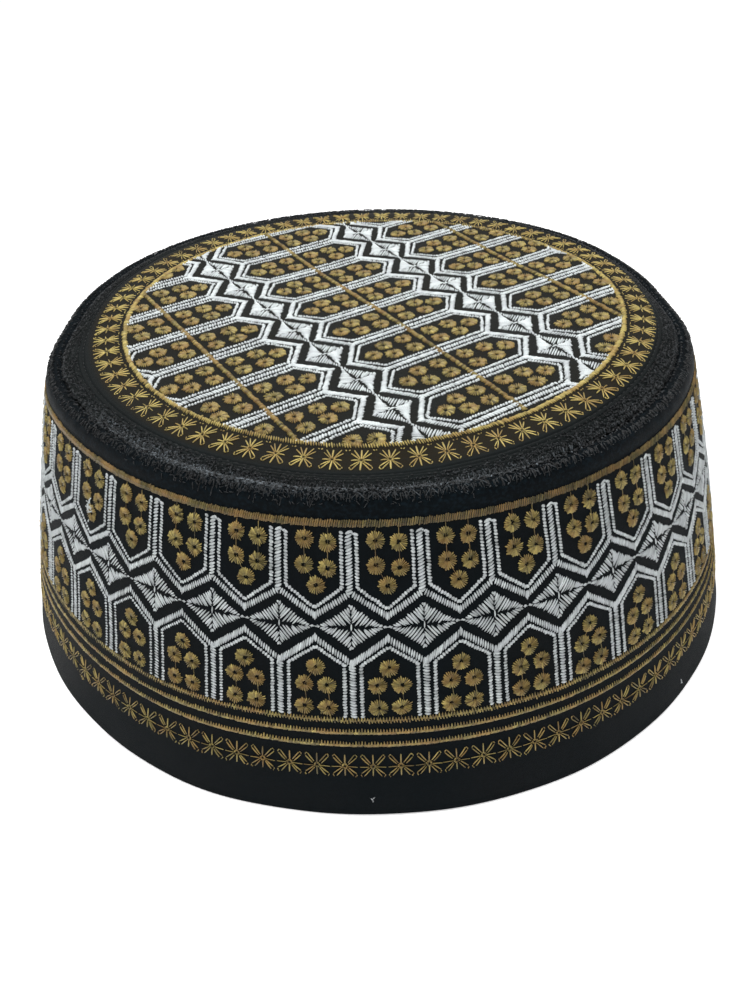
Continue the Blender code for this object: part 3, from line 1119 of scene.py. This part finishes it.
class KUFI_OT_crown_gold(bpy.types.Operator):
    """Sew the gold rosettes, lines, circle and stars of the crown"""
    bl_idname = "kufi.crown_gold"
    bl_label = "Gold threads of the crown"

    def execute(self, context):
        cap, colours, stitches = settings(context)
        pitch, rise = stitches.gold_pitch / MM, stitches.thread_rise / MM
        rng = np.random.default_rng(32)
        full, fine = stitch_shape(FULL), stitch_shape(FINE)
        lay = partial(sew, place=cap.on_crown, look=thread_look(colours, "gold"), rng=rng)
        centres = [motif_place(x, half.sign * out, along, chain) for along, chain in crown_repeats()
                   for half in (CROWN_OUT, CROWN_IN) for x, out in half.rosettes]
        cells = []
        for x, y in centres:
            if np.hypot(x - CROWN_CENTRE[0], y - CROWN_CENTRE[1]) < CIRCLE_RADIUS + 0.6:
                spots = rosette(stitches.rosette_radius / MM * CROWN_ROSETTE, stitches.petals, rng)
                cells.append(moved(spots, x + rng.normal(0, 0.05), y + rng.normal(0, 0.05)))
        table = within(np.concatenate(cells), CIRCLE_RADIUS + 0.4)
        lay("crown_rosettes", table, rise, fine, along=0.08, tones=0.19)

        lines = []
        for out in (-STRIPE, 0, STRIPE):
            line = satin((-62, out), (62, out), (0.50, 1.62), pitch * 0.94,
                         cover=0.80, end_cover=0.62, rise=2.0, tone=0.27)
            lines.append(within(bent(line, crown_pattern), CIRCLE_RADIUS))
        lay("crown_gold_lines", np.concatenate(lines), rise, full, along=0.10, tones=0.19)
        start, end = (0, CIRCLE_RADIUS), (tau * CIRCLE_RADIUS, CIRCLE_RADIUS)
        circle = satin(start, end, (0.50, 1.70), pitch * 0.88,
                       cover=0.84, end_cover=0.56, rise=1.5, tone=0.70)
        lay("crown_gold_circle", round_crown(circle, CIRCLE_RADIUS), rise, full, along=0.13, tones=0.22)

        ring = CROWN_STAR_RADIUS
        step = tau * ring / stitches.crown_stars
        hooks = strands([((step / 2 - 0.60, 3.20), (step / 2 - 0.10, 2.90)),
                         ((step / 2 + 0.10, 2.90), (step / 2 + 0.55, 3.25))], 0.28, 0.85)
        stars = mirrored(repeated(np.concatenate([crown_star(), hooks]), stitches.crown_stars, step), y=-1)
        stars = bent(moved(stars, CROWN_STAR_START * ring, ring), star_drift)
        lay("crown_stars", round_crown(stars, ring), rise * 0.75, full, taper=FINE_TAPER,
            along=0.04, tones=0.18, turn=0.05)
        return {"FINISHED"}


class KUFI_OT_dark_stitching(bpy.types.Operator):
    """Sew the rings on the rim and the overcast seam along the edge roll"""
    bl_idname = "kufi.dark_stitching"
    bl_label = "Dark stitching"

    def execute(self, context):
        cap, colours, stitches = settings(context)
        look = thread_look(colours, "dark")
        rng = np.random.default_rng(41)
        rings = []
        for ring in RINGS:
            count = round(tau * ring / RING_STITCH)
            angle = tau * np.arange(count) / count + rng.uniform(0, 1)
            start, end = [np.stack([ring * np.sin(turn), -ring * np.cos(turn)], -1)
                          for turn in (angle, angle + tau / count * 0.80)]
            rings.append(rows(start, end, 0.26, tone=0.0))

        def in_ring(x, y):
            place, facing = cap.on_crown(x, y)
            place[..., 2] -= RING_SINK
            return place, facing
        sew("rim_rings", np.concatenate(rings), rise=0.16, shape=stitch_shape(FULL), place=in_ring,
            look=look, rng=rng, turn=0.02, tones=0.004)
        lay = partial(sew, rise=0.24, shape=stitch_shape(FINE), place=cap.on_seam, look=look, rng=rng,
                      lift=0.10, taper=FINE_TAPER)
        lay("seam_overcast", overcast(rng), along=0.10, tones=0.02, turn=0.06)
        lay("seam_hairs", hairs(stitches.hairs, rng), tones=0.02)
        return {"FINISHED"}


def lit(around, middle, reach):
    """1 at one place round the cap, easing to 0 away from it. Both in degrees."""
    apart = (around - middle + 180) % 360 - 180
    return np.exp(-(apart / reach) ** 2)


def overcast(rng):
    """The seam's stitches: triangles, and rows of feet, beads, ticks and the roll's wraps, painted brighter
    round the front as a painted highlight.
    """
    step = 360 / TRIANGLES
    at = np.arange(TRIANGLES) * step + rng.normal(0, 0.12, TRIANGLES)
    # The triangles are painted brighter round the front: a painted highlight.
    shade = (0.02 + 0.20 * lit(at, 6, 20)) * rng.uniform(0.5, 1.3, TRIANGLES)
    foot = ring_places(at, 76.9)
    parts = [rows(foot, ring_places(at + way, 78.35), 0.20, 0.18, 1.0, shade, shade * 0.8) for way in (-1, 1)]
    for count, inner, outer, width, low, high, power in SEAM_ROWS:
        at = np.arange(count) * 360 / count + rng.uniform(-0.25, 0.25, count)
        # Painted highlight: the rows are brighter round the front, where the dark thread catches the light.
        front_highlight = 0.12 + 0.88 * lit(at, 16, 18)
        shade = low + high * front_highlight * rng.uniform(0, 1, count) ** power
        skew = rng.uniform(-0.3, 0.4, count)
        run = rng.uniform(0.8, 1.1, count) * (outer - inner)
        end = ring_places(at + skew, inner + run)
        parts.append(rows(ring_places(at, inner), end, width, width * 0.85, 1.3, shade))
    return np.concatenate(parts)


def ring_places(around, radius):
    """Places in degrees round the cap, all at one radius or each at its own."""
    return np.stack([around, around * 0 + radius], -1)


def hairs(count, rng):
    """Short loose fibres over the seam: bright flecks at the front left and the front, and at the right a
    dull nap that also carries a painted sheen of the shoulder.
    """
    at = rng.uniform(-180, 180, count * 4)
    left, front, right = lit(at, -30, 24), lit(at, 13, 14), lit(at, 48, 24)
    keep = rng.uniform(0, 1, len(at)) < 0.12 + 0.88 * left + 0.40 * front + 0.42 * right
    at, left, front, right = (values[keep][:count] for values in (at, left, front, right))
    middle = 76.0 - 2.8 * (1 - np.exp(-((at + 12) / 42) ** 2))
    radius = np.clip(rng.normal(middle + 0.2 - 0.4 * left, 1.25 + 0.30 * left + 0.20 * right), 71.5, 79.0)
    turn = rng.uniform(0, tau, len(at))
    reach = rng.uniform(0.30, 1.1, len(at)) / 2
    swing = np.degrees(reach * np.cos(turn) / 76)
    lean = reach * np.sin(turn) * 0.8
    near = np.exp(-((radius - middle) / 1.7) ** 2)
    flecks = (left + 0.5 * front) * near * rng.uniform(0, 1, len(at)) ** 3.2
    # The fibres at the right are painted a little brighter: a painted sheen of the shoulder's satin, on top
    # of its real fluff.
    shade = 0.004 + (0.02 + 0.07 * right) * near * rng.uniform(0, 1, len(at)) + 0.75 * flecks
    start, end = ring_places(at - swing, radius - lean), ring_places(at + swing, radius + lean)
    return rows(start, end, 0.24, 0.18, 1.0, shade)


class KUFI_OT_stage(bpy.types.Operator):
    """Set up the floor, the lights and the camera"""
    bl_idname = "kufi.stage"
    bl_label = "Studio"

    def execute(self, context):
        colours = context.scene.kufi_colours
        shape = bmesh.new()
        bmesh.ops.create_circle(shape, cap_ends=True, cap_tris=False, segments=64, radius=3.0)
        mesh = bpy.data.meshes.new("floor")
        shape.to_mesh(mesh)
        shape.free()
        look = Look("floor")
        speckle = look.range(look.noise(look.object_place(), 6.0), 0.3, 0.7)
        ground = look.mix(speckle, rgba(colours.floor), rgba(colours.floor, 0.985))
        look.feed(look.shader, {"Base Color": ground, "Roughness": 0.9, "Specular IOR Level": 0.1,
                                "Emission Color": (1, 1, 1, 1), "Emission Strength": 0.5})
        mesh.materials.append(look.material)
        floor = bpy.data.objects.new("floor", mesh)
        context.scene.collection.objects.link(floor)
        place_camera(context)
        place_lights(context)
        return {"FINISHED"}


def place_camera(context):
    """The camera stands above the front of the cap, rolled a little."""
    elevation, roll = radians(34.922), radians(-1.703)
    distance = 306.36 * MM
    aim = Vector((-0.123, 0, 18.054)) * MM
    focal_pixels = 1092.4
    frame_height = 1000
    back = Vector((0, -cos(elevation), sin(elevation)))
    right = Vector((1, 0, 0))
    up = back.cross(right)
    turned_right = right * cos(roll) + up * sin(roll)
    turned_up = up * cos(roll) - right * sin(roll)
    data = bpy.data.cameras.new("camera")
    data.sensor_width = 36
    data.lens = focal_pixels / frame_height * data.sensor_width
    data.clip_start = 0.01
    data.clip_end = 20
    camera = bpy.data.objects.new("camera", data)
    context.scene.collection.objects.link(camera)
    camera.matrix_world = Matrix((turned_right, turned_up, back)).transposed().to_4x4()
    camera.location = aim + back * distance
    context.scene.camera = camera


def place_lights(context):
    """A white room, a broad soft lamp above, and weaker ones in front and behind."""
    scene = context.scene
    scene.view_settings.view_transform = "Standard"
    world = bpy.data.worlds.new("studio")
    world.use_nodes = True
    world.node_tree.nodes["Background"].inputs["Color"].default_value = (1, 1, 1, 1)
    world.node_tree.nodes["Background"].inputs["Strength"].default_value = 0.22
    scene.world = world
    for name, place, width, power in (("key", (-0.10, -0.15, 0.85), 0.7, 6.7),
                                      ("front", (0.15, -0.75, 0.45), 0.4, 0.8),
                                      ("back", (0.0, 0.6, 0.7), 0.7, 2.5)):
        data = bpy.data.lights.new(name, "AREA")
        data.size = width
        data.energy = power
        lamp = bpy.data.objects.new(name, data)
        scene.collection.objects.link(lamp)
        lamp.location = place
        lamp.rotation_euler = (Vector((0, 0, 0.05)) - Vector(place)).to_track_quat("-Z", "Y").to_euler()


OPERATORS = (KUFI_OT_stage, KUFI_OT_side_cloth, KUFI_OT_roll_cloth, KUFI_OT_crown_cloth, KUFI_OT_side_white,
             KUFI_OT_side_gold, KUFI_OT_crown_white, KUFI_OT_crown_gold, KUFI_OT_dark_stitching)


class KUFI_PT_panel(bpy.types.Panel):
    """The kufi's settings and steps"""
    bl_idname = "KUFI_PT_panel"
    bl_label = "Kufi"
    bl_space_type = "VIEW_3D"
    bl_region_type = "UI"
    bl_category = "Kufi"

    def draw(self, context):
        for group in (context.scene.kufi_shape, context.scene.kufi_stitches, context.scene.kufi_colours):
            box = self.layout.box()
            for name in group.bl_rna.properties.keys():
                if name not in {"rna_type", "name"}:
                    box.prop(group, name)
        for operator in OPERATORS:
            self.layout.operator(operator.bl_idname)


CLASSES = (KufiShape, KufiStitches, KufiColours, *OPERATORS, KUFI_PT_panel)


def register():
    for item in CLASSES:
        bpy.utils.register_class(item)
    bpy.types.Scene.kufi_shape = PointerProperty(type=KufiShape)
    bpy.types.Scene.kufi_stitches = PointerProperty(type=KufiStitches)
    bpy.types.Scene.kufi_colours = PointerProperty(type=KufiColours)


def unregister():
    del bpy.types.Scene.kufi_shape
    del bpy.types.Scene.kufi_stitches
    del bpy.types.Scene.kufi_colours
    for item in reversed(CLASSES):
        bpy.utils.unregister_class(item)


def main():
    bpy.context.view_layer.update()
    register()
    for operator in OPERATORS:
        group, name = operator.bl_idname.split(".")
        getattr(getattr(bpy.ops, group), name)()


if __name__ == "__main__":
    main()
